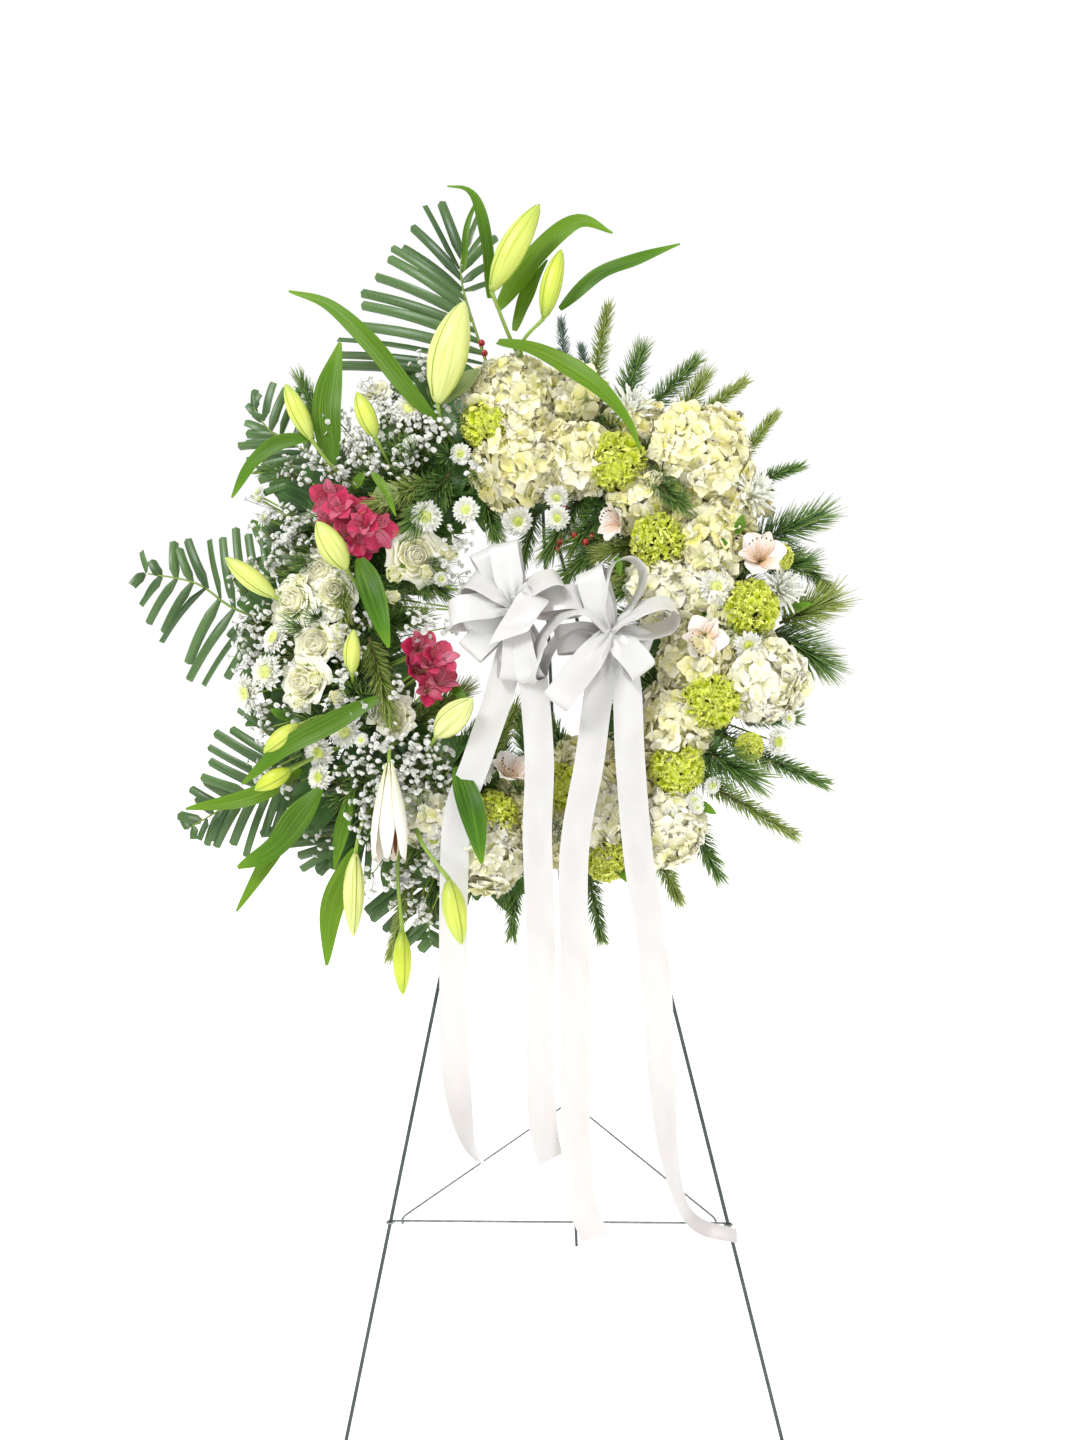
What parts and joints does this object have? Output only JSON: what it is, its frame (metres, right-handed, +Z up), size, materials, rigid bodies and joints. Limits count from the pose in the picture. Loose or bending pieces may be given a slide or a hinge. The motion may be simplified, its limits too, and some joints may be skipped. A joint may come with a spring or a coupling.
{
  "type": "funeral wreath on easel",
  "caption": "Round open-centred wreath of fresh flowers and greens with white satin bows and hanging ribbon tails, on a folding three-legged wire easel.",
  "frame": {"origin": "middle of the bottom of the whole object's box, on the floor", "axes": "+Z up, +X to the right seen from the front, the front of the wreath faces -Y"},
  "size_m": [0.9746, 0.5002, 1.6843],
  "materials": {
    "easel_wire": "dark grey-green enamel on drawn wire",
    "bare_wire": "thin drawn wire, dull zinc",
    "ring_tray": "moulded green plastic",
    "floral_foam": "open-cell floral foam",
    "satin_ribbon": "white satin, slight sheen",
    "palm_leaf": "waxy palm leaf",
    "lily_green": "waxy bud and leaf",
    "pine_needle": "needles on a twig",
    "hydrangea_petal": "matt petals, cream and white",
    "carnation_petal": "ruffled lime petals",
    "rose_petal": "velvety cream petals",
    "pink_petal": "pink petals with dark streaks",
    "white_petal": "matt white petals"
  },
  "bodies": {
    "root": {"front_leg_left": "easel_wire", "front_leg_right": "easel_wire", "hinge_pin": "bare_wire", "front_crossbar": "bare_wire", "top_hook": "easel_wire", "ring_base": "ring_tray", "foam_ring": "floral_foam", "alstroemeria_pink_lower": "pink_petal", "alstroemeria_pink_upper": "pink_petal", "alstroemeria_white": "white_petal", "bow_left": "satin_ribbon", "bow_right": "satin_ribbon", "carnation_bottom": "carnation_petal", "carnation_inner_bottom": "carnation_petal", "carnation_inner_right": "carnation_petal", "carnation_low_right": "carnation_petal", "carnation_lower_right": "carnation_petal", "carnation_right": "carnation_petal", "carnation_top": "carnation_petal", "carnation_upper_right": "carnation_petal", "daisy_left": "white_petal", "daisy_lower_left": "white_petal", "gypsophila": "white_petal", "hydrangea_bottom": "hydrangea_petal", "hydrangea_bottom_right": "hydrangea_petal", "hydrangea_far_right": "hydrangea_petal", "hydrangea_inner_right": "hydrangea_petal", "hydrangea_inner_top": "hydrangea_petal", "hydrangea_lower_right": "hydrangea_petal", "hydrangea_right": "hydrangea_petal", "hydrangea_right_top": "hydrangea_petal", "hydrangea_top": "hydrangea_petal", "hydrangea_upper_right": "hydrangea_petal", "lily_bottom": "lily_green", "lily_left": "lily_green", "lily_lower_left": "lily_green", "lily_top": "lily_green", "lily_upper_left": "lily_green", "palm_bottom": "palm_leaf", "palm_left": "palm_leaf", "palm_lower_left": "palm_leaf", "palm_top": "palm_leaf", "palm_upper_left": "palm_leaf", "pine_bottom": "pine_needle", "pine_bottom_right": "pine_needle", "pine_left": "pine_needle", "pine_lower_right": "pine_needle", "pine_right": "pine_needle", "pine_top": "pine_needle", "pine_upper_right": "pine_needle", "ribbon_tail_1": "satin_ribbon", "ribbon_tail_2": "satin_ribbon", "ribbon_tail_3": "satin_ribbon", "ribbon_tail_4": "satin_ribbon", "spider_mum_right": "white_petal", "spider_mum_top": "white_petal", "spray_rose_inner": "rose_petal", "spray_rose_left": "rose_petal"},
    "rear_leg": {"rear_leg": "easel_wire"},
    "rear_brace": {"rear_brace": "bare_wire"}
  },
  "joints": [
    {"name": "rear_leg_fold", "type": "hinge", "parent": "root", "child": "rear_leg", "pos_m": [0.09726, 0.01973, 1.2121], "axis": [-1, 0, 0], "range_deg": [0, 20]},
    {"name": "rear_brace_fold", "type": "hinge", "parent": "root", "child": "rear_brace", "pos_m": [0.09726, -0.15811, 0.27914], "axis": [1, 0, 0], "range_deg": [0, 76.5]}
  ],
  "couplings": [
    {"joint": "rear_brace_fold", "follows": "rear_leg_fold", "ratio": 3.8}
  ]
}
